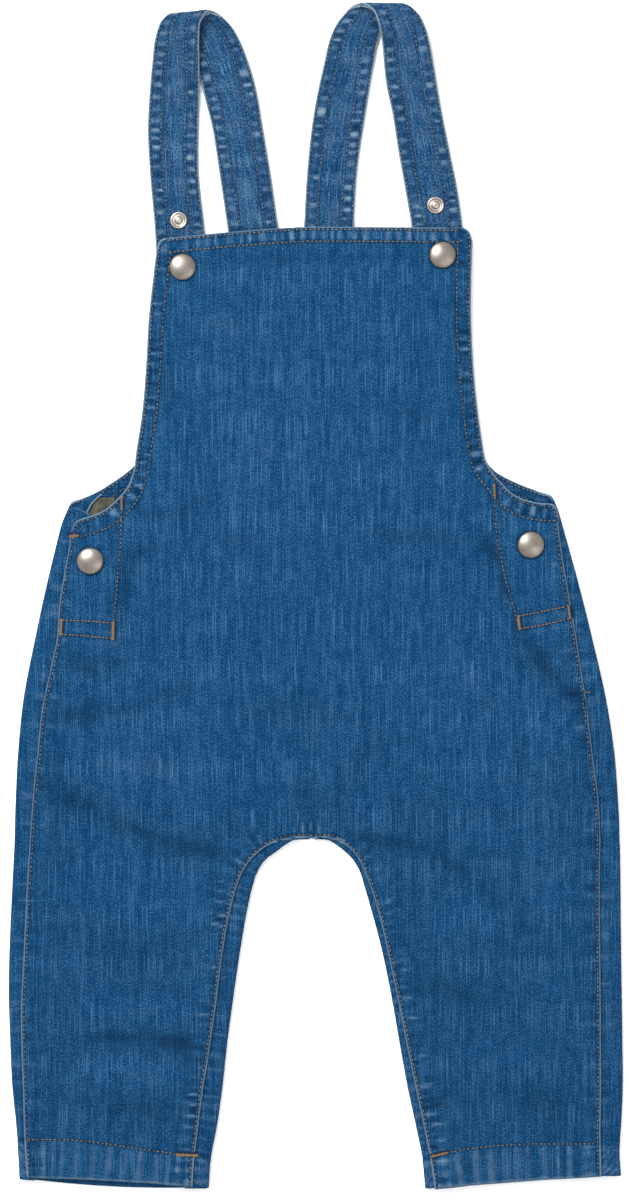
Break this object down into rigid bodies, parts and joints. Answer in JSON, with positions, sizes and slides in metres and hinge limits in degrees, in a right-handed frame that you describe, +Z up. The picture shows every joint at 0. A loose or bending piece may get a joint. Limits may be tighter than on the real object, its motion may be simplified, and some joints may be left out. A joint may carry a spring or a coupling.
{
  "type": "kids dungarees",
  "caption": "Small child's blue denim dungarees laid flat on their back, straps looped over the top and snapped to the bib.",
  "frame": {"origin": "on the surface that the garment lies on, under the middle of its bounding box", "axes": "+Y from the hems to the strap loops, +Z up out of the front of the garment, +X to the right as seen from above"},
  "size_m": [0.3071, 0.5935, 0.0102],
  "materials": {
    "denim": "matt washed blue denim, warp streaks, pale worn edges",
    "strap_denim": "matt washed blue denim, doubled and worn pale at its edges",
    "cotton_twill": "matt olive beige cotton twill",
    "snap_nickel": "brushed nickel plate, domed",
    "stud_pearl": "pale satin metal ring and stud"
  },
  "bodies": {
    "root": {"front_panel": "denim", "back_panel": "denim", "strap_left": "strap_denim", "strap_right": "strap_denim", "underlap_left": "cotton_twill", "underlap_right": "cotton_twill", "cap_bib_left": "snap_nickel", "cap_bib_right": "snap_nickel", "cap_side_left": "snap_nickel", "cap_side_right": "snap_nickel", "stud_left": "stud_pearl", "stud_right": "stud_pearl"}
  },
  "joints": []
}
